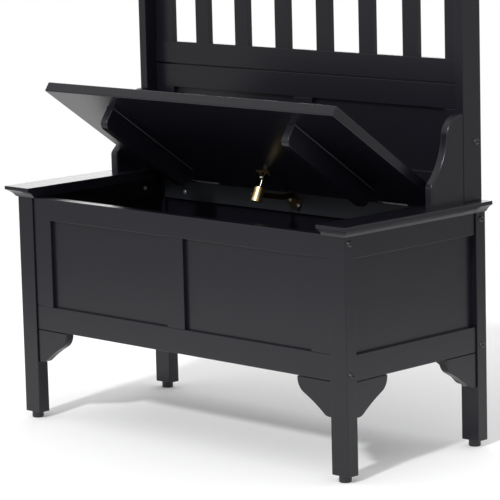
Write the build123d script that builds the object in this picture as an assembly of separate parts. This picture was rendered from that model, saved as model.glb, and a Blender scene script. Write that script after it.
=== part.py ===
"""Hall tree bench: a storage chest with a lift-up seat lid and a tall slatted back with coat hooks.

Millimetres, +Z up. The origin is on the floor, at the centre of the bench's plan.
The front is towards -Y. The lid is modelled open at its rest angle.
"""
import os
from math import cos, radians, sin

from build123d import *

# Overall sizes
chest_width = 852.0  # over the outer faces of the legs
chest_depth = 371.0  # front legs' front face to rear legs' back face
seat_height = 452.0  # floor to the top of the seat trims
back_height = 1750.0  # floor to the top of the crown cap

# Timber sections and easing
leg_width = 40.0
leg_depth = 25.0
rail_thickness = 20.0
side_rail_thickness = 23.0
rail_inset = 3.5  # rails lie this far behind the leg faces
top_rail_height = 41.0
bottom_rail_height = 46.5
bottom_rail_lift = 177.0  # floor to the underside of the bottom rails
stile_width = 46.5
mullion_width = 45.0
panel_thickness = 5.0
front_panel_recess = 7.0  # front panels behind the front rails' face
side_panel_recess = 8.5
rear_panel_recess = 6.0
panel_lap = 8.0  # panels run this far into their grooves
panel_slip = 0.2
edge_ease = 1.2

# Glides
glide_height = 12.0
glide_diameter = 22.0
glide_pin_diameter = 6.0
glide_pin_length = 14.0
glide_round = 2.0

# Floor of the chest
floor_thickness = 8.0
floor_lift = 28.0  # above the underside of the bottom rails
floor_tongue = 6.0
floor_slip = 0.2

# Seat trims, fixed strip and lid
trim_thickness = 20.0
trim_overhang = 18.0
trim_width = 68.5
trim_fascia = 6.5
trim_cove_inset = 3.0  # flat left under the cove, outside the leg face
strip_depth = 38.3
strip_slip = 0.2
lid_thickness = 19.5
lid_front_inset = 1.0  # lid front edge behind the trims' front edge
lid_side_gap = 1.5
lid_ease = 2.5
lid_rest_angle = 34.6  # how far the lid stands open at rest, in degrees
rib_spacing = 472.0
rib_thickness = 18.0
rib_height = 40.0
rib_length = 246.0
rib_front = 50.0  # lid front edge to the ribs' front end
rib_round = 14.0  # lower corners of the ribs
rib_ease = 2.0

# Butt hinges
hinge_spacing = 490.0
hinge_length = 60.0
hinge_screw_spacing = 36.0
hinge_leaf_thickness = 1.5
hinge_leaf_height = 19.0
hinge_gap = 3.4  # between the lid's back edge and the fixed strip
knuckle_diameter = 7.0
knuckle_lift = 0.5  # knuckles stand this far above the seat
knuckle_end_gap = 0.2
pin_diameter = 3.6
pin_play = 0.05  # radial, in the lid's knuckles
pin_press = 0.02  # radial, in the fixed knuckles
pin_overrun = 0.8

# Wood screws
screw_diameter = 3.5
screw_head_diameter = 7.0
screw_length = 14.0
screw_play = 0.05
screw_sink = 0.3  # heads lie this far below the face
screw_slot_width = 1.0
screw_slot_depth = 1.2
screw_slot_length = 4.6

# Frame bolts and barrel nuts
bolt_diameter = 6.0
bolt_head_diameter = 12.5
bolt_head_height = 4.5
bolt_socket_width = 4.0  # across the flats
bolt_socket_depth = 2.5
bolt_play = 0.15
bolt_tail = 6.0  # past the middle of the barrel nut
bolt_top_drop = 13.0  # seat trim underside to the upper bolts
bolt_bottom_lift = 12.5  # bottom rail underside to the lower bolts
nut_diameter = 10.0
nut_play = 0.1
nut_set_in = 56.0  # rail end to the barrel nut
nut_back = 5.5  # barrel nut behind the bolt axis

# Corner brackets under the rails
bracket_length = 82.5
bracket_height = 64.5
bracket_thickness = 18.0
bracket_gap = 1.2  # open joint under the rail
bracket_nose = 4.0
bracket_lobe_run = 15.5
bracket_lobe_drop = 25.5
bracket_heel_run = 19.5
bracket_heel_drop = 60.5

# Back
post_width = 18.5
post_depth = 48.0
post_side_inset = 7.0  # posts stand this far inside the legs' outer faces
post_back_inset = 0.5  # posts stand this far in front of the rear legs' back face
back_rail_thickness = 16.0
back_rail_back_inset = 5.5  # rails lie this far in front of the posts' back face
back_rail_height = 45.0
back_joint_gap = 3.2  # shadow line between the lower and the slatted frame
back_joint_depth = 10.0
back_lower_gap = 117.0  # height of the lower back panel's opening
back_panel_thickness = 5.0
back_panel_back_inset = 3.0
back_panel_lap = 8.0
back_stile_width = 48.0
back_mullion_width = 46.0
slat_count = 6
slat_width = 36.0
slat_pitch = 107.8
slat_thickness = 12.0
slat_tenon = 8.0
slat_slip = 0.15
slat_back_inset = 2.0  # slats lie this far in front of the rails' back face
rail_ease = 1.0
hook_board_height = 135.0
crown_thickness = 20.0
wall_hole_diameter = 5.5
wall_hole_spacing = 640.0
wall_hole_drop = 22.0  # crown underside to the wall screw holes

# Arms
arm_thickness = 18.0
arm_length = 87.5
arm_height = 159.5
arm_base = 34.0
arm_shoulder_run = 4.5
arm_shoulder_rise = 10.0
arm_waist_run = 44.0
arm_waist_rise = 123.0
arm_ease = 4.0
arm_joint_gap = 1.8  # shadow line between an arm and its post
arm_joint_depth = 5.0
back_bolt_rise = 106.0  # seat to the bolts through the posts
back_bolt_depth = 30.0  # their depth in the back's stiles

# Coat hooks
hook_count = 4
hook_spacing = 190.0
hook_plate_width = 24.0
hook_plate_height = 76.0
hook_plate_thickness = 4.0
hook_plate_drop = 26.0  # hook board's top edge to the plates
hook_rod_diameter = 9.0
hook_long_reach = 62.0
hook_long_rise = 46.0
hook_long_bend = 24.0
hook_short_reach = 34.0
hook_short_rise = 20.0
hook_short_bend = 14.0
hook_prong_spacing = 36.0
hook_ball_diameter = 15.0
hook_screw_spacing = 56.0

# Lid stay
stay_x = -25.0
stay_pivot_run = 14.0  # wall pivot in front of the hinge axis
stay_pivot_drop = 31.0  # wall pivot below the hinge axis
stay_lid_run = 76.0  # lid pivot in front of the hinge axis, lid closed
stay_lid_drop = 10.0  # lid pivot below the lid's underside
stay_arm_width = 10.0
stay_arm_thickness = 3.0
stay_lug_thickness = 3.0
stay_side_play = 0.3
stay_pin_diameter = 5.0
stay_pin_play = 0.06
stay_pin_cap = 1.2
stay_pin_cap_diameter = 8.0
stay_pin_depth = 5.0  # arm pin into the barrel
stay_barrel_diameter = 20.0
stay_barrel_height = 27.0
stay_band_height = 3.0
stay_band_rise = 0.8
stay_band_inset = 4.0
stay_rod_diameter = 3.4
stay_eye_diameter = 10.0
stay_eye_width = 6.0
stay_plate_thickness = 2.0
stay_plate_length = 34.0
stay_plate_width = 14.0
stay_screw_spacing = 23.0
stay_wall_plate_width = 22.0
stay_wall_plate_drop = 13.5  # wall pivot to the middle of the wall plate
stay_wall_plate_tilt = 23.0  # its right end hangs lower, in degrees

# Derived places
depth_all = chest_depth + trim_overhang
y_front = trim_overhang - depth_all / 2
y_rear = depth_all / 2
x_leg = chest_width / 2
x_bay = x_leg - leg_width  # inner faces of the legs
y_bay_front = y_front + leg_depth
y_bay_rear = y_rear - leg_depth
seat_under = seat_height - trim_thickness
side_out = x_leg - rail_inset
side_in = side_out - side_rail_thickness
front_out = y_front + rail_inset
front_in = front_out + rail_thickness
rear_out = y_rear - rail_inset
rear_in = rear_out - rail_thickness
top_rail_z = seat_under - top_rail_height
bottom_rail_top = bottom_rail_lift + bottom_rail_height
floor_z = bottom_rail_lift + floor_lift
trim_in = x_leg + trim_overhang - trim_width
strip_front = y_rear - strip_depth
hinge_y = strip_front - hinge_gap / 2
hinge_z = seat_height + knuckle_lift + knuckle_diameter / 2
lid_half = trim_in - lid_side_gap
lid_front = y_front - trim_overhang + lid_front_inset
lid_rear = strip_front - hinge_gap
lid_under = seat_height - lid_thickness
post_out = x_leg - post_side_inset
post_in = post_out - post_width
post_rear = y_rear - post_back_inset
post_front = post_rear - post_depth
back_rear = post_rear - back_rail_back_inset
back_front = back_rear - back_rail_thickness
crown_under = back_height - crown_thickness
bottom_back_top = seat_height + back_rail_height
second_z = bottom_back_top + back_lower_gap
lower_z = second_z + back_rail_height
slat_z = lower_z + back_rail_height
hook_board_z = crown_under - hook_board_height
upper_z = hook_board_z - back_rail_height
slat_rear = back_rear - slat_back_inset
slat_front = slat_rear - slat_thickness
bolt_zs = (seat_under - bolt_top_drop, bottom_rail_lift + bolt_bottom_lift)

hinge_xs = (-hinge_spacing / 2, hinge_spacing / 2)
hook_xs = [(i - (hook_count - 1) / 2) * hook_spacing for i in range(hook_count)]
hook_plate_top = crown_under - hook_plate_drop
hook_plate_mid = hook_plate_top - hook_plate_height / 2
lid_axis = Axis((0, hinge_y, hinge_z), (1, 0, 0))


def opened(shape):
    """Turn a piece of the closed lid up to its rest angle."""
    return shape.rotate(lid_axis, -lid_rest_angle)


def block(x0, x1, y0, y1, z0, z1):
    """A sharp-edged box between two corners."""
    centre = Pos((x0 + x1) / 2, (y0 + y1) / 2, (z0 + z1) / 2)
    return centre * Box(x1 - x0, y1 - y0, z1 - z0)


def board(x0, x1, y0, y1, z0, z1, ease=edge_ease):
    """A sawn board with all its edges eased."""
    shape = block(x0, x1, y0, y1, z0, z1)
    limit = 0.3 * min(x1 - x0, y1 - y0, z1 - z0)
    return fillet(shape.edges(), min(ease, limit))


def rod_x(x0, x1, y, z, diameter):
    """A round bar along X."""
    return Pos((x0 + x1) / 2, y, z) * Rot(0, 90, 0) * Cylinder(diameter / 2, x1 - x0)


def rod_y(y0, y1, x, z, diameter):
    """A round bar along Y."""
    return Pos(x, (y0 + y1) / 2, z) * Rot(90, 0, 0) * Cylinder(diameter / 2, y1 - y0)


def mirrored(shape):
    """The same piece for the other side of the bench."""
    return mirror(shape, about=Plane.YZ)


def screw(place):
    """A countersunk wood screw whose head faces local +Z at the place's origin."""
    cone = (screw_head_diameter - screw_diameter) / 2
    head = Pos(0, 0, -screw_sink - cone / 2) * Cone(screw_diameter / 2, screw_head_diameter / 2, cone)
    shank = Pos(0, 0, -screw_sink - screw_length / 2) * Cylinder(screw_diameter / 2, screw_length)
    body = head + shank
    for turn in (0, 90):
        slot = Box(screw_slot_length, screw_slot_width, 2 * screw_slot_depth)
        body -= Pos(0, 0, -screw_sink) * Rot(0, 0, turn) * slot
    return place * body


def screw_hole(place):
    """The countersunk hole that a screw sits in."""
    radius = screw_diameter / 2 + screw_play
    head_radius = screw_head_diameter / 2 + screw_play
    cone = head_radius - radius
    sink = Pos(0, 0, -screw_sink / 2) * Cylinder(head_radius, screw_sink)
    head = Pos(0, 0, -screw_sink - cone / 2) * Cone(radius, head_radius, cone)
    depth = screw_sink + screw_length + screw_play
    shank = Pos(0, 0, -depth / 2) * Cylinder(radius, depth)
    return place * (sink + head + shank)


def face_place(x, y, z, toward):
    """A place whose local +Z looks along the given direction."""
    return Plane(origin=(x, y, z), z_dir=toward).location


def drilled(shape, places):
    """Cut screw holes into a piece."""
    for place in places:
        shape -= screw_hole(place)
    return shape


def seated(solids):
    """Separate solids kept together as one group."""
    return Compound(children=list(solids))


hinge_screw_z = seat_height - hinge_leaf_height / 2
hinge_screw_xs = [x + s * hinge_screw_spacing / 2 for x in hinge_xs for s in (-1, 1)]
frame_leaf_face = strip_front - hinge_leaf_thickness
lid_leaf_face = lid_rear + hinge_leaf_thickness
frame_leaf_screws = [face_place(x, frame_leaf_face, hinge_screw_z, (0, -1, 0)) for x in hinge_screw_xs]
lid_leaf_screws = [face_place(x, lid_leaf_face, hinge_screw_z, (0, 1, 0)) for x in hinge_screw_xs]

stay_b = (hinge_y - stay_pivot_run, hinge_z - stay_pivot_drop)
stay_a = (hinge_y - stay_lid_run, lid_under - stay_lid_drop)
stay_wall_face = rear_in - stay_plate_thickness
stay_wall_z = stay_b[1] - stay_wall_plate_drop
stay_wall_tilt = radians(stay_wall_plate_tilt)
stay_lug_x = stay_x - stay_arm_thickness / 2 - stay_side_play - stay_lug_thickness
stay_wall_screws = [
    face_place(
        stay_x + s * stay_screw_spacing / 2 * cos(stay_wall_tilt), stay_wall_face,
        stay_wall_z - s * stay_screw_spacing / 2 * sin(stay_wall_tilt), (0, -1, 0))
    for s in (-1, 1)
]
stay_barrel_x = stay_x + stay_arm_thickness / 2 + stay_side_play + stay_barrel_diameter / 2 + stay_band_rise
stay_lid_lug_x = stay_barrel_x + stay_eye_width / 2 + stay_side_play
stay_lid_face = lid_under - stay_plate_thickness
stay_lid_screws = [
    face_place(stay_barrel_x + s * stay_screw_spacing / 2, stay_a[0], stay_lid_face, (0, 0, -1)) for s in (-1, 1)
]

hook_face = back_front - hook_plate_thickness
hook_screws = [
    face_place(x, hook_face, hook_plate_mid + s * hook_screw_spacing / 2, (0, -1, 0)) for x in hook_xs for s in (-1, 1)
]


def turned_open(y, z):
    """Where a point of the closed lid lies at the rest angle."""
    c, s = cos(radians(lid_rest_angle)), sin(radians(lid_rest_angle))
    dy, dz = y - hinge_y, z - hinge_z
    return hinge_y + dy * c + dz * s, hinge_z - dy * s + dz * c


def front_opening(side, grow):
    """A front panel, or with some growth the grooves that hold it."""
    y0 = front_out + front_panel_recess
    x0 = mullion_width / 2 - panel_lap
    x1 = x_bay - stile_width + panel_lap
    xs = (x0, x1) if side > 0 else (-x1, -x0)
    return block(
        xs[0] - grow, xs[1] + grow,
        y0 - grow, y0 + panel_thickness + grow,
        bottom_rail_top - panel_lap - grow, top_rail_z + panel_lap + grow,
    )


def side_opening(grow):
    """The right side panel, or its grooves. It also runs into the legs."""
    x1 = side_out - side_panel_recess
    return block(
        x1 - panel_thickness - grow, x1 + grow,
        y_bay_front - panel_lap - grow, y_bay_rear + panel_lap + grow,
        bottom_rail_top - panel_lap - grow, top_rail_z + panel_lap + grow,
    )


def rear_opening(grow):
    """The rear panel, or its grooves. It also runs into the legs."""
    y1 = rear_out - rear_panel_recess
    return block(
        -x_bay - panel_lap - grow, x_bay + panel_lap + grow,
        y1 - panel_thickness - grow, y1 + grow,
        bottom_rail_top - panel_lap - grow, top_rail_z + panel_lap + grow,
    )


def floor_shape(grow):
    """The chest floor with its tongues, or the grooves that hold it."""
    z0, z1 = floor_z - grow, floor_z + floor_thickness + grow
    x_long, x_wide = x_bay - floor_slip + grow, side_in + floor_tongue + grow
    y0 = front_in - floor_tongue - grow
    y1 = rear_in + floor_tongue + grow
    s0 = max(y_bay_front, front_in) + floor_slip - grow
    s1 = min(y_bay_rear, rear_in) - floor_slip + grow
    return block(-x_long, x_long, y0, y1, z0, z1) + block(-x_wide, x_wide, s0, s1, z0, z1)


def leg(side, rear):
    """A leg with its bolt holes, panel grooves and glide hole."""
    xs = (x_bay, x_leg) if side > 0 else (-x_leg, -x_bay)
    ys = (y_bay_rear, y_rear) if rear else (y_front, y_bay_front)
    shape = board(*xs, *ys, glide_height, seat_under)
    panel = side_opening(panel_slip)
    shape -= panel if side > 0 else mirrored(panel)
    if rear:
        shape -= rear_opening(panel_slip)
    y = (ys[0] + ys[1]) / 2
    for z in bolt_zs:
        shape -= rod_x(xs[0], xs[1], y, z, bolt_diameter + 2 * bolt_play)
    x = (xs[0] + xs[1]) / 2
    hole = Cylinder((glide_pin_diameter + 2 * screw_play) / 2, glide_pin_length + screw_play)
    return shape - Pos(x, y, glide_height + (glide_pin_length + screw_play) / 2) * hole


def bolt_cut(y, z, inner_y):
    """Bolt and barrel nut holes at both ends of a front or rear rail."""
    cut = None
    for side in (-1, 1):
        end, tip = side * x_bay, side * (x_bay - nut_set_in - bolt_tail - bolt_play)
        nut_x = side * (x_bay - nut_set_in)
        hole = rod_x(min(end, tip), max(end, tip), y, z, bolt_diameter + 2 * bolt_play)
        hole += rod_y(*nut_span(y, inner_y, nut_play), nut_x, z, nut_diameter + 2 * nut_play)
        cut = hole if cut is None else cut + hole
    return cut


def nut_span(y, inner_y, play):
    """From behind the bolt axis to the rail's inner face."""
    return (y - nut_back - play, inner_y) if inner_y > y else (inner_y, y + nut_back + play)


bolt_ys = ((y_front + y_bay_front) / 2, (y_rear + y_bay_rear) / 2)


def front_rail(z0, z1, bolt_z):
    """A front rail between the legs, grooved for the panels and the floor."""
    shape = board(-x_bay, x_bay, front_out, front_in, z0, z1)
    for side in (-1, 1):
        shape -= front_opening(side, panel_slip)
    shape -= floor_shape(floor_slip)
    return shape - bolt_cut(bolt_ys[0], bolt_z, front_in)


def rear_rail(z0, z1, bolt_z):
    """A rear rail between the legs."""
    shape = board(-x_bay, x_bay, rear_in, rear_out, z0, z1)
    shape -= rear_opening(panel_slip)
    shape -= floor_shape(floor_slip)
    return shape - bolt_cut(bolt_ys[1], bolt_z, rear_in)


def side_rail(z0, z1):
    """A right side rail between the legs."""
    shape = board(side_in, side_out, y_bay_front, y_bay_rear, z0, z1)
    return shape - side_opening(panel_slip) - floor_shape(floor_slip)


def front_stile(x0, x1):
    """An upright of the front frame between the rails."""
    shape = board(x0, x1, front_out, front_in, bottom_rail_top, top_rail_z)
    for side in (-1, 1):
        shape -= front_opening(side, panel_slip)
    return shape


def glide(x, y):
    """A nail-in glide under a leg."""
    foot = Pos(x, y, glide_height / 2) * Cylinder(glide_diameter / 2, glide_height)
    foot = fillet(foot.edges().group_by(Axis.Z)[0], glide_round)
    pin = Cylinder(glide_pin_diameter / 2, glide_pin_length)
    return foot + Pos(x, y, glide_height + glide_pin_length / 2) * pin


def bracket_face():
    """The bracket's ogee outline: corner at the origin, along local X, downwards."""
    tip = (bracket_length, -bracket_nose)
    lobe = (bracket_length - bracket_lobe_run, -bracket_nose - bracket_lobe_drop)
    heel = (bracket_heel_run, -bracket_heel_drop)
    nose = Line((bracket_length, -bracket_gap), tip)
    bulge = TangentArc(tip, lobe, tangent=(0, -1))
    hollow = TangentArc(lobe, heel, tangent=bulge % 1)
    slope = hollow % 1
    toe_run = bracket_heel_run + (bracket_height - bracket_heel_drop) * (1 - slope.X) / slope.Y
    toe = (toe_run, -bracket_height)
    ball = TangentArc(heel, toe, tangent=slope)
    foot = Polyline(toe, (0, -bracket_height), (0, -bracket_gap), (bracket_length, -bracket_gap))
    return make_face(Curve() + [nose, bulge, hollow, ball, foot])


def bracket_rail(side, rear):
    """A bracket under the front or rear rail beside a leg."""
    y = rear_out - bracket_thickness if rear else front_out
    plane = Plane(origin=(-x_bay, y, bottom_rail_lift), x_dir=(1, 0, 0), z_dir=(0, -1, 0))
    solid = extrude(plane * bracket_face(), amount=-bracket_thickness)
    solid = fillet(solid.edges() - solid.edges().filter_by(Axis.Y), edge_ease)
    return solid if side < 0 else mirrored(solid)


def bracket_side(side, rear):
    """A bracket under a side rail beside a leg."""
    y, run = (y_bay_rear, -1) if rear else (y_bay_front, 1)
    plane = Plane(origin=(side_out, y, bottom_rail_lift), x_dir=(0, run, 0), z_dir=(run, 0, 0))
    solid = extrude(plane * bracket_face(), amount=-bracket_thickness * run)
    solid = fillet(solid.edges() - solid.edges().filter_by(Axis.X), edge_ease)
    return solid if side > 0 else mirrored(solid)


def cove_cut(length):
    """The waste under a moulded edge: local X runs inwards, local Y is up, along local Z."""
    depth = trim_overhang - trim_cove_inset
    drop = trim_thickness - trim_fascia
    curve = RadiusArc((0, drop), (depth, 0), depth + drop)
    closing = Polyline((depth, 0), (depth, -1), (-1, -1), (-1, drop), (0, drop))
    return extrude(make_face(Curve() + [curve, closing]), amount=length)


def side_cove(x_edge, y0, y1, z):
    """Waste along a right-hand edge that runs in Y."""
    plane = Plane(origin=(x_edge, y0, z), x_dir=(-1, 0, 0), z_dir=(0, 1, 0))
    return plane * cove_cut(y1 - y0)


def front_cove(x0, x1, y_edge, z):
    """Waste along a front edge that runs in X."""
    plane = Plane(origin=(x0, y_edge, z), x_dir=(0, 1, 0), z_dir=(1, 0, 0))
    return plane * cove_cut(x1 - x0)


def seat_trim():
    """The right seat trim: moulded along its outer side and its front end."""
    x1, y0 = x_leg + trim_overhang, y_front - trim_overhang
    shape = board(trim_in, x1, y0, y_rear, seat_under, seat_height)
    shape -= side_cove(x1, y0 - 1, y_rear + 1, seat_under)
    return shape - front_cove(trim_in - 1, x1 + 1, y0, seat_under)


def crown_cap():
    """The moulded cap over the posts and the hook board."""
    x1, y0 = post_out + trim_overhang, post_front - trim_overhang
    shape = board(-x1, x1, y0, y_rear, crown_under, back_height)
    cove = Pos(0, 0, crown_thickness - trim_thickness)
    side = cove * side_cove(x1, y0 - 1, y_rear + 1, crown_under)
    shape -= side
    shape -= mirrored(side)
    return shape - cove * front_cove(-x1 - 1, x1 + 1, y0, crown_under)


def dome_bolt(x_face, side, y, z, length):
    """A bolt along X with a domed head against a face."""
    radius = bolt_head_diameter / 2
    ball = (radius**2 + bolt_head_height**2) / (2 * bolt_head_height)
    dome = Pos(0, 0, bolt_head_height - ball) * Sphere(ball)
    dome &= Pos(0, 0, bolt_head_height / 2) * Box(bolt_head_diameter, bolt_head_diameter, bolt_head_height)
    socket = extrude(RegularPolygon(bolt_socket_width / 2, 6, major_radius=False), amount=bolt_socket_depth)
    dome -= Pos(0, 0, bolt_head_height - bolt_socket_depth) * socket
    shape = dome + Pos(0, 0, -length / 2) * Cylinder(bolt_diameter / 2, length)
    return face_place(x_face, y, z, (side, 0, 0)) * shape


def frame_bolts():
    """Leg bolts into the front and rear rails, and a bolt through each post into the back."""
    length = leg_width + nut_set_in + bolt_tail
    bolts = [
        dome_bolt(side * x_leg, side, y, z, length) for side in (-1, 1) for y in bolt_ys for z in bolt_zs
    ]
    y, z = back_bolt_place()
    bolts += [dome_bolt(side * post_out, side, y, z, post_width + back_bolt_depth) for side in (-1, 1)]
    return seated(bolts)


def barrel_nuts():
    """Cross nuts in the rails that the leg bolts pull against."""
    nuts = []
    for side in (-1, 1):
        for y, inner in zip(bolt_ys, (front_in, rear_in)):
            for z in bolt_zs:
                nut = rod_y(*nut_span(y, inner, 0), side * (x_bay - nut_set_in), z, nut_diameter)
                reach = side * (x_bay - nut_set_in)
                nut -= rod_x(reach - nut_diameter, reach + nut_diameter, y, z, bolt_diameter + 2 * bolt_play)
                nuts.append(nut)
    return seated(nuts)


def back_bolt_place():
    """Where the bolt through a post enters the lower back's stile."""
    return (back_front + back_rear) / 2, seat_height + back_bolt_rise


def back_bolt_hole():
    """The bolt's hole through the right post and into the stile."""
    y, z = back_bolt_place()
    tip = post_in - back_bolt_depth - bolt_play
    return rod_x(tip, post_out + 1, y, z, bolt_diameter + 2 * bolt_play)


def arm_panel():
    """The right arm: a shaped panel between the seat trim and the post."""
    front = post_front - arm_length
    shoulder = (arm_shoulder_run, arm_base + arm_shoulder_rise)
    nose = Line((0, 0), (0, arm_base))
    turn = TangentArc((0, arm_base), shoulder, tangent=(0, 1))
    waist = TangentArc(shoulder, (arm_waist_run, arm_waist_rise), tangent=turn % 1)
    slope = waist % 1
    top = (arm_waist_run + (arm_height - arm_waist_rise) * (1 + slope.X) / slope.Y, arm_height)
    crest = TangentArc((arm_waist_run, arm_waist_rise), top, tangent=slope)
    back = Polyline(top, (arm_length, arm_height), (arm_length, 0), (0, 0))
    outline = make_face(Curve() + [nose, turn, waist, crest, back])
    plane = Plane(origin=(post_out, front, seat_height), x_dir=(0, 1, 0), z_dir=(1, 0, 0))
    shape = extrude(plane * outline, amount=-arm_thickness)
    round_edges = [e for e in shape.edges() if is_arm_outline(e)]
    shape = fillet(round_edges, min(arm_ease, 0.3 * arm_thickness))
    x0, x1, y0 = post_out - arm_thickness, post_out, post_front - arm_joint_gap
    for low, high in ((x0 - 1, x0 + arm_joint_depth), (x1 - arm_joint_depth, x1 + 1)):
        shape -= block(low, high, y0, post_front + 1, seat_height - 1, seat_height + arm_height + 1)
    return shape


def is_arm_outline(edge):
    """True for the outline's edges on both faces, apart from the foot and the back."""
    box = edge.bounding_box()
    flat = box.size.X < 0.01
    above_foot = box.max.Z > seat_height + 0.01
    return flat and above_foot and box.min.Y < post_front - 0.01


def back_post():
    """The right post of the back."""
    return board(post_in, post_out, post_front, post_rear, seat_height, crown_under, rail_ease) - back_bolt_hole()


def back_opening(side, grow):
    """A lower back panel, or the grooves that hold it."""
    y1 = back_rear - back_panel_back_inset
    x0 = back_mullion_width / 2 - back_panel_lap
    x1 = post_in - back_stile_width + back_panel_lap
    xs = (x0, x1) if side > 0 else (-x1, -x0)
    return block(
        xs[0] - grow, xs[1] + grow,
        y1 - back_panel_thickness - grow, y1 + grow,
        bottom_back_top - back_panel_lap - grow, second_z + back_panel_lap + grow,
    )


def back_lower_upright(x0, x1):
    """An upright beside the lower back panels."""
    shape = board(x0, x1, back_front, back_rear, bottom_back_top, second_z)
    for side in (-1, 1):
        shape -= back_opening(side, panel_slip)
    return shape


def slat_xs():
    """Left edges of the slats, evenly pitched about the middle."""
    first = -((slat_count - 1) * slat_pitch + slat_width) / 2
    return [first + i * slat_pitch for i in range(slat_count)]


def slat(x, width, grow):
    """A slat or back stile with its stub tenons, or its mortises."""
    z0, z1 = slat_z - slat_tenon - grow, upper_z + slat_tenon + grow
    return block(x - grow, x + width + grow, slat_front - grow, slat_rear + grow, z0, z1)


def uprights():
    """Left edge and width of every slat and back stile."""
    ends = [(-post_in + slat_slip, back_stile_width - slat_slip), (post_in - back_stile_width, back_stile_width - slat_slip)]
    return ends + [(x, slat_width) for x in slat_xs()]


def eased_slat(x, width):
    """A slat with its long edges eased."""
    shape = slat(x, width, 0)
    long_edges = shape.edges().filter_by(Axis.Z)
    return fillet(long_edges, min(edge_ease, 0.3 * slat_thickness))


def panel_rail(z0, z1):
    """A rail of the back beside the lower panels."""
    shape = board(-post_in, post_in, back_front, back_rear, z0, z1, rail_ease)
    for side in (-1, 1):
        shape -= back_opening(side, panel_slip)
    return shape


def slat_rail(z0, z1):
    """A rail of the back with mortises for the slats and stiles."""
    shape = board(-post_in, post_in, back_front, back_rear, z0, z1, rail_ease)
    for x, width in uprights():
        shape -= slat(x, width, slat_slip)
    return shape


def hook_board():
    """The board that carries the coat hooks, with two holes for wall screws."""
    shape = board(-post_in, post_in, back_front, back_rear, hook_board_z, crown_under, rail_ease)
    shape = drilled(shape, hook_screws)
    for side in (-1, 1):
        x, z = side * wall_hole_spacing / 2, crown_under - wall_hole_drop
        shape -= rod_y(back_front - 1, back_rear + 1, x, z, wall_hole_diameter)
    return shape


def prong(z, reach, rise, bend):
    """A round prong that leaves the plate, turns up and ends in a ball."""
    y0 = hook_face + hook_plate_thickness / 2
    y1 = hook_face - reach
    path = FilletPolyline((0, y0, z), (0, y1, z), (0, y1, z + rise), radius=bend)
    start = Plane(origin=(0, y0, z), z_dir=(0, -1, 0))
    bar = sweep(start * Circle(hook_rod_diameter / 2), path=path)
    return bar + Pos(0, y1, z + rise) * Sphere(hook_ball_diameter / 2)


def coat_hook(x):
    """A cast double coat hook: plate, long upper prong and short lower prong."""
    plane = Plane(origin=(0, back_front, hook_plate_mid), x_dir=(1, 0, 0), z_dir=(0, -1, 0))
    plate = extrude(plane * SlotOverall(hook_plate_height, hook_plate_width, rotation=90), amount=hook_plate_thickness)
    top = hook_plate_mid + hook_prong_spacing / 2
    low = hook_plate_mid - hook_prong_spacing / 2
    shape = plate + prong(top, hook_long_reach, hook_long_rise, hook_long_bend)
    shape += prong(low, hook_short_reach, hook_short_rise, hook_short_bend)
    return drilled(Pos(x, 0, 0) * shape, hook_screws)


def lid_panel():
    """The seat lid, closed."""
    shape = board(-lid_half, lid_half, lid_front, lid_rear, lid_under, seat_height, lid_ease)
    return drilled(shape, lid_leaf_screws + stay_lid_screws)


def lid_ribs():
    """Two stiffening ribs on edge under the lid, closed."""
    y0, y1 = lid_front + rib_front, lid_front + rib_front + rib_length
    z0, half = lid_under - rib_height, rib_thickness / 2
    ribs = []
    for x in (-rib_spacing / 2, rib_spacing / 2):
        rib = block(x - half, x + half, y0, y1, z0, lid_under)
        corners = rib.edges().filter_by(Axis.X).group_by(Axis.Z)[0]
        rib = fillet(corners, min(rib_round, 0.45 * rib_height))
        sides = [e for e in rib.edges() if e.bounding_box().size.X < 0.01 and e.bounding_box().min.Z < lid_under - 0.01]
        ribs.append(fillet(sides, min(rib_ease, 0.3 * rib_thickness)))
    return ribs


def knuckle(x0, x1, bore):
    """One knuckle of a hinge."""
    return rod_x(x0, x1, hinge_y, hinge_z, knuckle_diameter) - rod_x(x0, x1, hinge_y, hinge_z, bore)


def hinge_leaf(x, y0, y1, on_lid):
    """A leaf with its knuckles: the middle one on the lid, the outer two on the fixed strip."""
    half, third = hinge_length / 2, hinge_length / 6
    play = pin_play if on_lid else pin_press
    bore = pin_diameter + 2 * play
    spans = [(-third, third)] if on_lid else [(-half, -third - knuckle_end_gap), (third + knuckle_end_gap, half)]
    leaf = block(x - half, x + half, y0, y1, seat_height - hinge_leaf_height, seat_height)
    for a, b in spans:
        tab = block(x + a, x + b, y0, y1, seat_height - 1, hinge_z)
        tab -= rod_x(x + a, x + b, hinge_y, hinge_z, bore)
        leaf += tab + knuckle(x + a, x + b, bore)
    return drilled(leaf, lid_leaf_screws if on_lid else frame_leaf_screws)


def stay_wall_bracket():
    """The plate on the rear rail, with the lug and pin that carry the stay."""
    half_l, half_w = stay_plate_length / 2, stay_wall_plate_width / 2
    y, z = stay_b
    plate = board(-half_l, half_l, stay_wall_face, rear_in, -half_w, half_w, 0.5)
    plate = drilled(Pos(stay_x, 0, stay_wall_z) * Rot(0, stay_wall_plate_tilt, 0) * plate, stay_wall_screws)
    half_arm = stay_arm_width / 2
    lug = block(stay_lug_x, stay_lug_x + stay_lug_thickness, y, rear_in - stay_plate_thickness / 2, z - half_arm, z + half_arm)
    lug += rod_x(stay_lug_x, stay_lug_x + stay_lug_thickness, y, z, stay_arm_width)
    end = stay_x + stay_arm_thickness / 2 + stay_side_play
    pin = rod_x(stay_lug_x, end, y, z, stay_pin_diameter)
    cap = rod_x(end, end + stay_pin_cap, y, z, stay_pin_cap_diameter)
    return plate + lug + pin + cap


def knee():
    """Where the stay's arm meets its barrel, at rest."""
    a = turned_open(*stay_a)
    return a[0] - stay_pivot_run, a[1] - stay_pivot_drop


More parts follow.
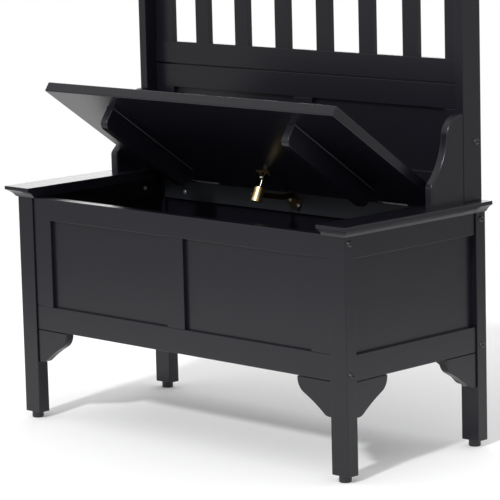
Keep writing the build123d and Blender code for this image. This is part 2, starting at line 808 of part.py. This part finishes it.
def stay_lower_arm():
    """The flat arm from the wall pivot to the barrel, with the pin through the barrel's side."""
    (y0, z0), (y1, z1) = stay_b, knee()
    x0, x1 = stay_x - stay_arm_thickness / 2, stay_x + stay_arm_thickness / 2
    centre = ((y0 + y1) / 2, (z0 + z1) / 2)
    run = Vector(0, y1 - y0, z1 - z0)
    plane = Plane(origin=(x0, *centre), x_dir=run, z_dir=(1, 0, 0))
    bar = extrude(plane * SlotCenterToCenter(run.length, stay_arm_width), amount=stay_arm_thickness)
    bar -= rod_x(x0 - 1, x1 + 1, y0, z0, stay_pin_diameter + 2 * stay_pin_play)
    inner = stay_barrel_x - stay_barrel_diameter / 2 + stay_pin_depth
    pin = rod_x(x0, inner, y1, z1, stay_pin_diameter)
    cap = rod_x(x0 - stay_pin_cap, x0, y1, z1, stay_pin_cap_diameter)
    return bar + pin + cap


def stay_barrel():
    """The banded barrel at the knee, bored for the arm's pin and the rod."""
    y, z = knee()
    body = Cylinder(stay_barrel_diameter / 2, stay_barrel_height)
    for side in (-1, 1):
        band = Cylinder(stay_barrel_diameter / 2 + stay_band_rise, stay_band_height)
        body += Pos(0, 0, side * (stay_barrel_height / 2 - stay_band_inset)) * band
    body = barrel_frame() * body
    inner = stay_barrel_x - stay_barrel_diameter / 2 + stay_pin_depth + stay_side_play
    body -= rod_x(stay_x, inner, y, z, stay_pin_diameter + 2 * stay_pin_play)
    return body - rod_hole()


def barrel_frame():
    """The barrel's own axes: local Z runs up the stay rod."""
    y, z = knee()
    return Plane(origin=(stay_barrel_x, y, z), x_dir=(1, 0, 0), z_dir=(0, stay_pivot_run, stay_pivot_drop)).location


def rod_length():
    """Knee to lid pivot."""
    return (stay_pivot_run**2 + stay_pivot_drop**2) ** 0.5


def rod_seat():
    """How far above the knee the rod starts, inside the barrel."""
    return stay_barrel_height / 2 - stay_band_inset - stay_band_height


def rod_hole():
    """The socket for the rod in the barrel's top."""
    bottom = rod_seat()
    depth = stay_barrel_height / 2 - bottom
    return barrel_frame() * Pos(0, 0, bottom + depth / 2) * Cylinder(stay_rod_diameter / 2 + stay_pin_play, depth)


def stay_rod():
    """The thin rod from the barrel to the lid pivot, with an eye at its end."""
    y, z = turned_open(*stay_a)
    bottom = rod_seat()
    length = rod_length() - bottom
    bar = barrel_frame() * Pos(0, 0, bottom + length / 2) * Cylinder(stay_rod_diameter / 2, length)
    x0, x1 = stay_barrel_x - stay_eye_width / 2, stay_barrel_x + stay_eye_width / 2
    eye = rod_x(x0, x1, y, z, stay_eye_diameter)
    hole = rod_x(x0 - 1, x1 + 1, y, z, stay_pin_diameter + 2 * stay_side_play)
    return bar + eye - hole


def stay_lid_bracket():
    """The plate under the closed lid, with the lug and pin that the rod hangs on."""
    y, z = stay_a
    half_l, half_w = stay_plate_length / 2, stay_plate_width / 2
    x0, x1 = stay_lid_lug_x, stay_lid_lug_x + stay_lug_thickness
    plate = board(stay_barrel_x - half_l, stay_barrel_x + half_l, y - half_w, y + half_w, stay_lid_face, lid_under, 0.5)
    plate = drilled(plate, stay_lid_screws)
    lug = block(x0, x1, y - half_w / 2, y + half_w / 2, z, lid_under - stay_plate_thickness / 2)
    lug += rod_x(x0, x1, y, z, stay_arm_width)
    end = stay_barrel_x - stay_eye_width / 2 - stay_side_play
    pin = rod_x(end, x1, y, z, stay_pin_diameter)
    cap = rod_x(end - stay_pin_cap, end, y, z, stay_pin_cap_diameter)
    return plate + lug + pin + cap


def chest_parts():
    """The storage chest and its hardware."""
    parts = {}
    for rear, row in ((False, "front"), (True, "rear")):
        for side, hand in ((-1, "left"), (1, "right")):
            parts[f"{row}_{hand}_leg"] = leg(side, rear)
    parts["front_top_rail"] = front_rail(top_rail_z, seat_under, bolt_zs[0])
    parts["front_bottom_rail"] = front_rail(bottom_rail_lift, bottom_rail_top, bolt_zs[1])
    parts["front_left_stile"] = front_stile(-x_bay, -x_bay + stile_width)
    parts["front_right_stile"] = front_stile(x_bay - stile_width, x_bay)
    parts["front_mullion"] = front_stile(-mullion_width / 2, mullion_width / 2)
    parts["front_left_panel"] = front_opening(-1, 0)
    parts["front_right_panel"] = front_opening(1, 0)
    top, bottom = side_rail(top_rail_z, seat_under), side_rail(bottom_rail_lift, bottom_rail_top)
    for hand, place in (("right", lambda s: s), ("left", mirrored)):
        parts[f"{hand}_side_top_rail"] = place(top)
        parts[f"{hand}_side_bottom_rail"] = place(bottom)
        parts[f"{hand}_side_panel"] = place(side_opening(0))
        parts[f"{hand}_seat_trim"] = place(seat_trim())
    parts["rear_top_rail"] = drilled(rear_rail(top_rail_z, seat_under, bolt_zs[0]), stay_wall_screws)
    parts["rear_bottom_rail"] = rear_rail(bottom_rail_lift, bottom_rail_top, bolt_zs[1])
    parts["rear_panel"] = rear_opening(0)
    parts["chest_floor"] = floor_shape(0)
    strip = board(-trim_in + strip_slip, trim_in - strip_slip, strip_front, y_rear, seat_under, seat_height)
    parts["rear_seat_strip"] = drilled(strip, frame_leaf_screws)
    corners = [(side, rear) for side in (-1, 1) for rear in (False, True)]
    brackets = [shape(side, rear) for shape in (bracket_rail, bracket_side) for side, rear in corners]
    parts["leg_brackets"] = seated(brackets)
    leg_x = (x_bay + x_leg) / 2
    parts["leg_glides"] = seated(glide(s * leg_x, y) for s in (-1, 1) for y in bolt_ys)
    parts["frame_bolts"] = frame_bolts()
    parts["barrel_nuts"] = barrel_nuts()
    return parts


def back_parts():
    """The slatted back, its arms and its coat hooks."""
    parts = {"right_back_post": back_post(), "left_back_post": mirrored(back_post())}
    parts["right_arm_panel"] = arm_panel()
    parts["left_arm_panel"] = mirrored(parts["right_arm_panel"])
    parts["back_bottom_rail"] = panel_rail(seat_height, bottom_back_top)
    parts["back_second_rail"] = panel_rail(second_z, lower_z)
    parts["back_lower_rail"] = slat_rail(lower_z, slat_z) - block(
        -x_leg, x_leg, back_front - 1, back_front + back_joint_depth, lower_z - 1, lower_z + back_joint_gap)
    parts["back_upper_rail"] = slat_rail(upper_z, hook_board_z)
    parts["back_lower_right_stile"] = back_lower_upright(post_in - back_stile_width, post_in) - back_bolt_hole()
    parts["back_lower_left_stile"] = mirrored(parts["back_lower_right_stile"])
    parts["back_lower_mullion"] = back_lower_upright(-back_mullion_width / 2, back_mullion_width / 2)
    parts["back_lower_left_panel"] = back_opening(-1, 0)
    parts["back_lower_right_panel"] = back_opening(1, 0)
    left, right, *slats = uprights()
    parts["left_back_stile"] = eased_slat(*left)
    parts["right_back_stile"] = eased_slat(*right)
    parts["back_slats"] = seated(eased_slat(x, width) for x, width in slats)
    parts["hook_board"] = hook_board()
    parts["crown_cap"] = crown_cap()
    parts["coat_hooks"] = seated(coat_hook(x) for x in hook_xs)
    parts["frame_screws"] = seated(screw(p) for p in hook_screws + frame_leaf_screws + stay_wall_screws)
    return parts


def lid_parts():
    """The lid with its hinges and stay."""
    parts = {"lid_panel": opened(lid_panel())}
    parts["lid_ribs"] = seated(opened(rib) for rib in lid_ribs())
    parts["hinge_lid_leaves"] = seated(opened(hinge_leaf(x, lid_rear, lid_leaf_face, True)) for x in hinge_xs)
    parts["hinge_frame_leaves"] = seated(hinge_leaf(x, frame_leaf_face, strip_front, False) for x in hinge_xs)
    half = hinge_length / 2 + pin_overrun
    parts["hinge_pins"] = seated(rod_x(x - half, x + half, hinge_y, hinge_z, pin_diameter) for x in hinge_xs)
    parts["lid_screws"] = seated(opened(screw(p)) for p in lid_leaf_screws + stay_lid_screws)
    parts["stay_wall_bracket"] = stay_wall_bracket()
    parts["stay_lower_arm"] = stay_lower_arm()
    parts["stay_barrel"] = stay_barrel()
    parts["stay_rod"] = stay_rod()
    parts["stay_lid_bracket"] = opened(stay_lid_bracket())
    return parts


def main():
    os.makedirs("parts", exist_ok=True)
    for name, shape in {**chest_parts(), **back_parts(), **lid_parts()}.items():
        export_step(shape, f"parts/{name}.step")


main()
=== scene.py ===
"""Hall tree bench: finishes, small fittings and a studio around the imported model.

Metres, +Z up, the front towards -Y. The lid stands open at its rest angle.
"""
from math import cos, radians, sin

import bmesh
import bpy
from mathutils import Matrix, Vector


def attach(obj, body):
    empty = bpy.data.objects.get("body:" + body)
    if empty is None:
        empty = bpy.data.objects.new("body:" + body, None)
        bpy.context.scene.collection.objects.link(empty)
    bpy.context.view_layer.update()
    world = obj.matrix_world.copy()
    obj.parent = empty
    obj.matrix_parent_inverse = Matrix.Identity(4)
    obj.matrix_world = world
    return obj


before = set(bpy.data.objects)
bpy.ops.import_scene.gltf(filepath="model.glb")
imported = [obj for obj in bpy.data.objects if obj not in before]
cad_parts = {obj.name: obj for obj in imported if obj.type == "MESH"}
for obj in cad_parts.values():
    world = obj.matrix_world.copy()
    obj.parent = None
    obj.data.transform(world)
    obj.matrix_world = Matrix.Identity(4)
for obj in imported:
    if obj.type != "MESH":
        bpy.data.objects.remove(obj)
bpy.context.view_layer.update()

bl_info = {
    "name": "Hall Tree Bench",
    "version": (1, 0, 0),
    "blender": (4, 5, 0),
    "location": "View3D > Sidebar > Hall Tree",
    "description": "Finishes and fittings for a storage bench with a slatted back",
    "category": "Object",
}

MM = 0.001

# Camera of the photograph, in a square frame, with its angles in degrees
PHOTO_SIDE_PX = 500
FOCAL_PX = 2754.2
SENSOR_MM = 36.0
CAMERA_PLACE = (3.5818, -3.5530, 1.1749)
CAMERA_AZIMUTH = 45.055
CAMERA_ELEVATION = 9.345
CAMERA_ROLL = -1.443
CAMERA_REACH = 100.0

# Studio floor, in metres: matt near the object, a white sweep farther away that dims to the sides
FLOOR_HALF_WIDTH, FLOOR_ROUGHNESS = 30.0, 0.9
SWEEP_START, SWEEP_END = 0.7, 2.4
SWEEP_SIDE_START, SWEEP_SIDE_END = 0.0, 1.9

# Lamps: the way towards them from the bench, and how wide they look, in degrees
KEY_TOWARDS, KEY_ANGLE = (0.7, -3.15, 2.36), 5.0
RIM_TOWARDS, RIM_ANGLE = (-2.8, 2.8, 0.65), 16.0

# Inside walls of the chest and the fastener ends in them, in millimetres
SIDE_WALL_X, SIDE_PLUG_Y, SIDE_PLUG_Z = 399.5, 131.0, 413.0
REAR_WALL_Y, REAR_PLUG_X, REAR_PLUG_Z = 171.0, 327.0, 406.0

# A fastener end: sides of its circle, share of its height that is rounded, steps of the round
FASTENER_SIDES, FASTENER_ROUNDING, FASTENER_ROUND_STEPS = 32, 0.8, 5

# Lid hinge and the lid's ribs with the lid closed, in millimetres and degrees
HINGE_Y, HINGE_Z, LID_REST_ANGLE = 154.5, 456.0, 34.6
LID_UNDER_Z = 432.5
RIB_X, RIB_HALF_THICKNESS = 236.0, 9.0
RIB_FRONT_Y, RIB_REAR_Y = -143.5, 102.5
GLUE_BEAD_FACETS = 6

# Lacquer film: a little less gloss than clear varnish, and the relief of the grain under it
LACQUER_IOR = 1.42
GRAIN_DETAIL, GRAIN_RELIEF_MM = 3.0, 0.1

# Boards by the way their grain runs
GRAIN_X = (
    "front_top_rail", "front_bottom_rail", "rear_panel", "front_left_panel", "front_right_panel",
    "rear_seat_strip", "chest_floor",
    "back_bottom_rail", "back_second_rail", "back_lower_rail", "back_upper_rail",
    "back_lower_left_panel", "back_lower_right_panel", "hook_board", "crown_cap", "lid_panel",
)
GRAIN_Y = (
    "left_side_top_rail", "left_side_bottom_rail", "left_side_panel", "left_seat_trim",
    "right_side_top_rail", "right_side_bottom_rail", "right_side_panel", "right_seat_trim",
    "lid_ribs",
)
GRAIN_Z = (
    "front_left_leg", "front_right_leg", "rear_left_leg", "rear_right_leg", "leg_brackets",
    "front_left_stile", "front_right_stile", "front_mullion",
    "left_back_post", "right_back_post", "left_back_stile", "right_back_stile", "back_slats",
    "back_lower_left_stile", "back_lower_right_stile", "back_lower_mullion",
    "left_arm_panel", "right_arm_panel",
)
# Rear rails inside the chest: painted light, coloured lighter than the lacquer for the light on the rear
# wall
PAINTED_LIGHT_RAILS = ("rear_top_rail", "rear_bottom_rail")


def linear(hex_colour):
    """Turn an sRGB hex colour into linear RGBA."""
    values = [int(hex_colour[i:i + 2], 16) / 255 for i in (1, 3, 5)]
    return [v / 12.92 if v <= 0.04045 else ((v + 0.055) / 1.055) ** 2.4 for v in values] + [1.0]


def add_node(tree, kind, links=(), **settings):
    """Add a node, set its inputs or properties, and link what feeds it."""
    node = tree.nodes.new(kind)
    for name, value in settings.items():
        if hasattr(node, name):
            setattr(node, name, value)
        else:
            node.inputs[name.replace("_", " ")].default_value = value
    for source, target in links:
        tree.links.new(source, node.inputs[target])
    return node


def new_material(name, colour, roughness):
    """A material with a Principled shader of one colour."""
    material = bpy.data.materials.new(name)
    material.use_nodes = True
    tree = material.node_tree
    tree.nodes.clear()
    shader = add_node(tree, "ShaderNodeBsdfPrincipled", Base_Color=colour, Roughness=roughness)
    add_node(tree, "ShaderNodeOutputMaterial", [(shader.outputs["BSDF"], "Surface")])
    return material, tree, shader


def lacquered_wood(name, axis, finish):
    """Sprayed satin lacquer over close-grained hardwood.

    The eye sees a nearly black, softly shining film with a faint run of grain under it.
    The grain is drawn coarser than real pores, which are too fine to show in the render.
    """
    material, tree, shader = new_material(name, finish.lacquer_colour, finish.lacquer_roughness)
    shader.inputs["IOR"].default_value = LACQUER_IOR
    coords = add_node(tree, "ShaderNodeTexCoord")
    stretch = [1.0 / finish.grain_width] * 3
    stretch[axis] = 1.0 / finish.grain_length
    mapped = add_node(tree, "ShaderNodeMapping", [(coords.outputs["Object"], "Vector")], Scale=stretch)
    grain = add_node(
        tree, "ShaderNodeTexNoise", [(mapped.outputs["Vector"], "Vector")], Scale=1.0, Detail=GRAIN_DETAIL)
    bump = add_node(
        tree, "ShaderNodeBump", [(grain.outputs["Fac"], "Height")],
        Strength=finish.grain_depth, Distance=GRAIN_RELIEF_MM * MM)
    tree.links.new(bump.outputs["Normal"], shader.inputs["Normal"])
    return material


def plain_metal(name, hex_colour, roughness):
    """A bare or plated metal: its colour is its reflection."""
    material, _, shader = new_material(name, linear(hex_colour), roughness)
    shader.inputs["Metallic"].default_value = 1.0
    return material


def plain_coat(name, colour, roughness):
    """A plain coated or moulded surface with no pattern."""
    return new_material(name, colour, roughness)[0]


def dress(names, material):
    """Give CAD nodes a material."""
    for name in names:
        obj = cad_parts[name]
        obj.data.materials.clear()
        obj.data.materials.append(material)


def add_piece(name, bm, material, body):
    """Turn a finished bmesh into a piece that rides on a body."""
    mesh = bpy.data.meshes.new(name)
    bm.to_mesh(mesh)
    bm.free()
    mesh.materials.append(material)
    piece = bpy.data.objects.new(name, mesh)
    bpy.context.scene.collection.objects.link(piece)
    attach(piece, body)


class TimberFinish(bpy.types.PropertyGroup):
    """The painted wood."""

    lacquer_colour: bpy.props.FloatVectorProperty(
        name="Lacquer", description="Colour of the satin lacquer",
        default=linear("#121219"), size=4, min=0.0, max=1.0, subtype="COLOR")
    lacquer_roughness: bpy.props.FloatProperty(
        name="Roughness", description="How far the lacquer spreads a reflection",
        default=0.27, min=0.0, max=1.0, subtype="FACTOR")
    # Painted light: a lighter matt grey-black on the rear rails for the light inside the chest, not a real
    # stain
    painted_light_rail_colour: bpy.props.FloatVectorProperty(
        name="Stain", description="Colour of the matt stain on the rear rails",
        default=linear("#1f2127"), size=4, min=0.0, max=1.0, subtype="COLOR")
    grain_width: bpy.props.FloatProperty(
        name="Grain width", description="Spacing of the grain lines",
        default=4.0 * MM, min=0.1 * MM, precision=4, subtype="DISTANCE", unit="LENGTH")
    grain_length: bpy.props.FloatProperty(
        name="Grain length", description="Length of the grain lines",
        default=160.0 * MM, min=1.0 * MM, precision=4, subtype="DISTANCE", unit="LENGTH")
    grain_depth: bpy.props.FloatProperty(
        name="Grain depth", description="Strength of the grain under the film",
        default=0.25, min=0.0, max=1.0, subtype="FACTOR")


class SmallFittings(bpy.types.PropertyGroup):
    """The fastener ends inside the chest and the glue beads under the lid."""

    fastener_diameter: bpy.props.FloatProperty(
        name="Fastener diameter", description="Across a fastener end",
        default=8.0 * MM, min=1.0 * MM, precision=4, subtype="DISTANCE", unit="LENGTH")
    fastener_height: bpy.props.FloatProperty(
        name="Fastener height", description="How far a fastener end stands out from its wall",
        default=2.0 * MM, min=0.1 * MM, precision=4, subtype="DISTANCE", unit="LENGTH")
    glue_bead_radius: bpy.props.FloatProperty(
        name="Glue bead", description="Radius of the glue beads beside the lid ribs",
        default=1.0 * MM, min=0.2 * MM, precision=4, subtype="DISTANCE", unit="LENGTH")


class StageLight(bpy.types.PropertyGroup):
    """The studio."""

    sky_level: bpy.props.FloatProperty(
        name="Sky", description="Strength of the even white light", default=0.98, min=0.0)
    sky_shine: bpy.props.FloatProperty(
        name="Sky shine", description="Strength of the even light in reflections", default=0.86, min=0.0)
    key_power: bpy.props.FloatProperty(
        name="Key", description="Strength of the soft lamp in front", default=1.8, min=0.0)
    rim_power: bpy.props.FloatProperty(
        name="Rim", description="Strength of the low lamp behind, on the left", default=0.12, min=0.0)
    floor_colour: bpy.props.FloatVectorProperty(
        name="Floor", description="Colour of the studio floor",
        default=linear("#fafafa"), size=4, min=0.0, max=1.0, subtype="COLOR")
    side_level: bpy.props.FloatProperty(
        name="Sides", description="Brightness of the sweep far to the sides",
        default=0.51, min=0.0, max=1.0, subtype="FACTOR")


class HALLTREE_OT_timber(bpy.types.Operator):
    """Lacquer the boards, with the grain along each board, and give the rear rails a lighter matt coat of
    painted light
    """

    bl_idname = "halltree.timber"
    bl_label = "Lacquered timber"

    def execute(self, context):
        finish = context.scene.halltree_timber
        for axis, letter, names in ((0, "x", GRAIN_X), (1, "y", GRAIN_Y), (2, "z", GRAIN_Z)):
            dress(names, lacquered_wood(f"satin_black_lacquer_grain_{letter}", axis, finish))
        # Painted light: a lighter, dull grey-black on the rear rails stands in for the light on the inside
        # of the chest's rear wall
        dress(PAINTED_LIGHT_RAILS, plain_coat("matt_painted_light_rear_rails", finish.painted_light_rail_colour, roughness=0.5))
        return {"FINISHED"}


class HALLTREE_OT_hinges(bpy.types.Operator):
    """Plate the hinges, screws and barrel nuts"""

    bl_idname = "halltree.hinges"
    bl_label = "Hinges, screws and nuts"

    def execute(self, context):
        # Zinc plate on pressed steel: a pale, cool, softly blurred shine
        zinc = plain_metal("bright_zinc_plated_steel", "#dcdfe2", roughness=0.36)
        dress(("hinge_lid_leaves", "hinge_frame_leaves", "hinge_pins", "lid_screws", "frame_screws"), zinc)
        # Phosphate on turned steel: a dull black that hardly shines
        phosphate = plain_coat("black_phosphated_steel", linear("#0c0c0e"), roughness=0.6)
        dress(("barrel_nuts",), phosphate)
        return {"FINISHED"}


class HALLTREE_OT_stay(bpy.types.Operator):
    """Make the lid stay's barrel brass, its rod bright and its arm and plates bronzed"""

    bl_idname = "halltree.stay"
    bl_label = "Lid stay"

    def execute(self, context):
        # Polished brass: a warm gold with one bright streak along the barrel
        dress(("stay_barrel",), plain_metal("polished_brass", "#e6cc94", roughness=0.28))
        # Nickel on drawn wire: a thin, nearly white line
        dress(("stay_rod",), plain_metal("bright_nickel_plated_steel", "#d6d2c4", roughness=0.2))
        # Bronzed pressed steel: a dark brown that only glints at its edges
        bronze = plain_metal("dark_bronzed_steel", "#6e5c3e", roughness=0.3)
        dress(("stay_wall_bracket", "stay_lower_arm", "stay_lid_bracket"), bronze)
        return {"FINISHED"}


class HALLTREE_OT_wall_plugs(bpy.types.Operator):
    """Set a small zinc fastener end in each inside wall of the chest"""

    bl_idname = "halltree.wall_plugs"
    bl_label = "Inside fasteners"

    def execute(self, context):
        fittings = context.scene.halltree_fittings
        # Zinc on a stamped dome: a small pale dot in the dark chest
        zinc = plain_metal("bright_zinc_fastener", "#f2f3f4", roughness=0.42)
        for side, word in ((-1, "left"), (1, "right")):
            place = (side * SIDE_WALL_X * MM, SIDE_PLUG_Y * MM, SIDE_PLUG_Z * MM)
            fastener_end(f"{word}_side_fastener", place, (-side, 0, 0), fittings, zinc)
            place = (side * REAR_PLUG_X * MM, REAR_WALL_Y * MM, REAR_PLUG_Z * MM)
            fastener_end(f"{word}_rear_fastener", place, (0, -1, 0), fittings, zinc)
        return {"FINISHED"}


def fastener_end(name, place, facing, fittings, material):
    """A domed fastener head that stands on the wall behind it."""
    radius, proud = fittings.fastener_diameter / 2, fittings.fastener_height
    bm = bmesh.new()
    bmesh.ops.create_cone(
        bm, cap_ends=True, segments=FASTENER_SIDES, radius1=radius, radius2=radius, depth=proud)
    rim = [e for e in bm.edges if all(v.co.z > 0 for v in e.verts)]
    bmesh.ops.bevel(
        bm, geom=rim, offset=FASTENER_ROUNDING * proud, offset_type="OFFSET", affect="EDGES",
        segments=FASTENER_ROUND_STEPS, profile=0.5, material=-1)
    turn = Vector((0.0, 0.0, 1.0)).rotation_difference(Vector(facing)).to_matrix().to_4x4()
    lift = Matrix.Translation((0.0, 0.0, proud / 2))
    bmesh.ops.transform(bm, matrix=Matrix.Translation(place) @ turn @ lift, verts=bm.verts)
    add_piece(name, bm, material, "frame")


class HALLTREE_OT_glue_beads(bpy.types.Operator):
    """Run a bead of dried glue along both sides of each lid rib"""

    bl_idname = "halltree.glue_beads"
    bl_label = "Glue beads"

    def execute(self, context):
        radius = context.scene.halltree_fittings.glue_bead_radius
        # A guessed bead of dried glue in the corner; its grey, much lighter than the lacquer, is a painted
        # highlight for the light line along each rib
        glue = plain_coat("glue_bead_with_painted_highlight", linear("#4c4d4f"), roughness=0.5)
        for rib, word in ((-1, "left"), (1, "right")):
            for side in (-1, 1):
                edge = "outer" if side == rib else "inner"
                x = (rib * RIB_X + side * RIB_HALF_THICKNESS) * MM
                glue_bead(f"{word}_rib_{edge}_glue_bead", x, side, radius, glue)
        return {"FINISHED"}


def glue_bead(name, x, side, radius, material):
    """A quarter-round bead in the corner between a rib and the lid, opened with the lid."""
    bm = bmesh.new()
    corner = Vector((x, RIB_FRONT_Y * MM, LID_UNDER_Z * MM))
    ring = [bm.verts.new(corner)]
    for step in range(GLUE_BEAD_FACETS + 1):
        angle = radians(90.0 * step / GLUE_BEAD_FACETS)
        ring.append(bm.verts.new(corner + radius * Vector((side * cos(angle), 0.0, -sin(angle)))))
    end = bm.faces.new(ring)
    grown = bmesh.ops.extrude_face_region(bm, geom=[end])["geom"]
    run = Vector((0.0, (RIB_REAR_Y - RIB_FRONT_Y) * MM, 0.0))
    bmesh.ops.translate(bm, vec=run, verts=[v for v in grown if isinstance(v, bmesh.types.BMVert)])
    bmesh.ops.recalc_face_normals(bm, faces=bm.faces)
    hinge = Matrix.Translation((0.0, HINGE_Y * MM, HINGE_Z * MM))
    opened = hinge @ Matrix.Rotation(radians(-LID_REST_ANGLE), 4, "X") @ hinge.inverted()
    bmesh.ops.transform(bm, matrix=opened, verts=bm.verts)
    add_piece(name, bm, material, "lid")


class HALLTREE_OT_black_hardware(bpy.types.Operator):
    """Blacken the bolts and the coat hooks, and make the glides nylon"""

    bl_idname = "halltree.black_hardware"
    bl_label = "Bolts, hooks and glides"

    def execute(self, context):
        # Black oxide on turned steel: a dark dome with a small highlight
        oxide = plain_coat("black_oxide_steel", linear("#1a1a1c"), roughness=0.32)
        dress(("frame_bolts",), oxide)
        # Powder coat on castings: an even satin black
        powder = plain_coat("satin_black_powder_coat", linear("#18181a"), roughness=0.4)
        dress(("coat_hooks",), powder)
        # Moulded nylon: a dull black
        nylon = plain_coat("black_nylon", linear("#101011"), roughness=0.5)
        dress(("leg_glides",), nylon)
        return {"FINISHED"}


class HALLTREE_OT_stage(bpy.types.Operator):
    """Build the floor, the light and the photograph's camera"""

    bl_idname = "halltree.stage"
    bl_label = "Studio"

    def execute(self, context):
        light = context.scene.halltree_light
        studio_floor(light)
        studio_world(context.scene, light)
        distant_lamp("key_softbox", KEY_TOWARDS, KEY_ANGLE, light.key_power)
        distant_lamp("rim_softbox", RIM_TOWARDS, RIM_ANGLE, light.rim_power)
        photo_camera(context.scene)
        context.scene.view_settings.view_transform = "Standard"
        return {"FINISHED"}


def studio_floor(light):
    """A wide pale floor that keeps the object's shadow."""
    bm = bmesh.new()
    bmesh.ops.create_grid(bm, x_segments=1, y_segments=1, size=FLOOR_HALF_WIDTH)
    mesh = bpy.data.meshes.new("studio_floor")
    bm.to_mesh(mesh)
    bm.free()
    floor = bpy.data.objects.new("studio_floor", mesh)
    bpy.context.scene.collection.objects.link(floor)
    mesh.materials.append(studio_sweep(light))


def studio_sweep(light):
    """Matt white floor that runs into a lit white sweep away from the object."""
    material, tree, shader = new_material("matt_white_studio_sweep", light.floor_colour, FLOOR_ROUGHNESS)
    coords = add_node(tree, "ShaderNodeTexCoord")
    place = coords.outputs["Object"]
    reach = add_node(tree, "ShaderNodeVectorMath", [(place, 0)], operation="LENGTH")
    away = add_node(
        tree, "ShaderNodeMapRange", [(reach.outputs["Value"], "Value")],
        interpolation_type="SMOOTHSTEP", From_Min=SWEEP_START, From_Max=SWEEP_END)
    across = Matrix.Rotation(radians(CAMERA_AZIMUTH), 3, "Z") @ Vector((1.0, 0.0, 0.0))
    aside = add_node(tree, "ShaderNodeVectorMath", [(place, 0)], operation="DOT_PRODUCT")
    aside.inputs[1].default_value = across
    far = add_node(tree, "ShaderNodeMath", [(aside.outputs["Value"], 0)], operation="ABSOLUTE")
    level = add_node(
        tree, "ShaderNodeMapRange", [(far.outputs["Value"], "Value")],
        From_Min=SWEEP_SIDE_START, From_Max=SWEEP_SIDE_END, To_Min=1.0, To_Max=light.side_level)
    rays = add_node(tree, "ShaderNodeLightPath")
    shown = add_node(
        tree, "ShaderNodeMath",
        [(level.outputs["Result"], 0), (rays.outputs["Is Camera Ray"], 1)], operation="MAXIMUM")
    glow = add_node(tree, "ShaderNodeEmission", [(shown.outputs["Value"], "Strength")])
    mixed = add_node(
        tree, "ShaderNodeMixShader",
        [(away.outputs["Result"], 0), (shader.outputs["BSDF"], 1), (glow.outputs["Emission"], 2)])
    output = next(n for n in tree.nodes if n.type == "OUTPUT_MATERIAL")
    tree.links.new(mixed.outputs["Shader"], output.inputs["Surface"])
    return material


def studio_world(scene, light):
    """Even white light, with a clean white background behind the object."""
    world = bpy.data.worlds.new("studio")
    scene.world = world
    world.use_nodes = True
    tree = world.node_tree
    tree.nodes.clear()
    rays = add_node(tree, "ShaderNodeLightPath")
    lit = add_node(
        tree, "ShaderNodeMapRange", [(rays.outputs["Is Glossy Ray"], "Value")],
        To_Min=light.sky_level, To_Max=light.sky_shine)
    strength = add_node(
        tree, "ShaderNodeMath",
        [(lit.outputs["Result"], 0), (rays.outputs["Is Camera Ray"], 1)], operation="MAXIMUM")
    sky = add_node(
        tree, "ShaderNodeBackground", [(strength.outputs["Value"], "Strength")], Color=linear("#ffffff"))
    add_node(tree, "ShaderNodeOutputWorld", [(sky.outputs["Background"], "Surface")])


def distant_lamp(name, towards, angle, power):
    """A soft lamp far away in the given direction from the bench."""
    data = bpy.data.lights.new(name, "SUN")
    data.angle = radians(angle)
    data.energy = power
    lamp = bpy.data.objects.new(name, data)
    lamp.location = towards
    lamp.rotation_euler = Vector(towards).to_track_quat("Z", "Y").to_euler()
    bpy.context.scene.collection.objects.link(lamp)


def photo_camera(scene):
    """The photograph's camera."""
    data = bpy.data.cameras.new("photo_camera")
    data.sensor_width = SENSOR_MM
    data.lens = FOCAL_PX * SENSOR_MM / PHOTO_SIDE_PX
    data.clip_end = CAMERA_REACH
    camera = bpy.data.objects.new("photo_camera", data)
    turn = Matrix.Rotation(radians(CAMERA_AZIMUTH), 4, "Z")
    tilt = Matrix.Rotation(radians(90.0 - CAMERA_ELEVATION), 4, "X")
    roll = Matrix.Rotation(radians(CAMERA_ROLL), 4, "Z")
    camera.matrix_world = Matrix.Translation(CAMERA_PLACE) @ turn @ tilt @ roll
    scene.collection.objects.link(camera)
    scene.camera = camera


class HALLTREE_PT_panel(bpy.types.Panel):
    """Lists the bench's pieces and its studio"""

    bl_idname = "HALLTREE_PT_panel"
    bl_label = "Hall Tree Bench"
    bl_space_type = "VIEW_3D"
    bl_region_type = "UI"
    bl_category = "Hall Tree"

    def draw(self, context):
        scene = context.scene
        for group in (scene.halltree_timber, scene.halltree_fittings, scene.halltree_light):
            box = self.layout.box()
            for name in group.bl_rna.properties.keys():
                if name not in ("rna_type", "name"):
                    box.prop(group, name)
        for operator in OPERATORS:
            self.layout.operator(operator.bl_idname)


OPERATORS = (
    HALLTREE_OT_timber,
    HALLTREE_OT_hinges,
    HALLTREE_OT_stay,
    HALLTREE_OT_wall_plugs,
    HALLTREE_OT_glue_beads,
    HALLTREE_OT_black_hardware,
    HALLTREE_OT_stage,
)
CLASSES = (TimberFinish, SmallFittings, StageLight) + OPERATORS + (HALLTREE_PT_panel,)


def register():
    for cls in CLASSES:
        bpy.utils.register_class(cls)
    bpy.types.Scene.halltree_timber = bpy.props.PointerProperty(type=TimberFinish)
    bpy.types.Scene.halltree_fittings = bpy.props.PointerProperty(type=SmallFittings)
    bpy.types.Scene.halltree_light = bpy.props.PointerProperty(type=StageLight)


def unregister():
    del bpy.types.Scene.halltree_light
    del bpy.types.Scene.halltree_fittings
    del bpy.types.Scene.halltree_timber
    for cls in reversed(CLASSES):
        bpy.utils.unregister_class(cls)


def main():
    register()
    bpy.ops.halltree.timber()
    bpy.ops.halltree.hinges()
    bpy.ops.halltree.stay()
    bpy.ops.halltree.wall_plugs()
    bpy.ops.halltree.glue_beads()
    bpy.ops.halltree.black_hardware()
    bpy.ops.halltree.stage()


if __name__ == "__main__":
    main()
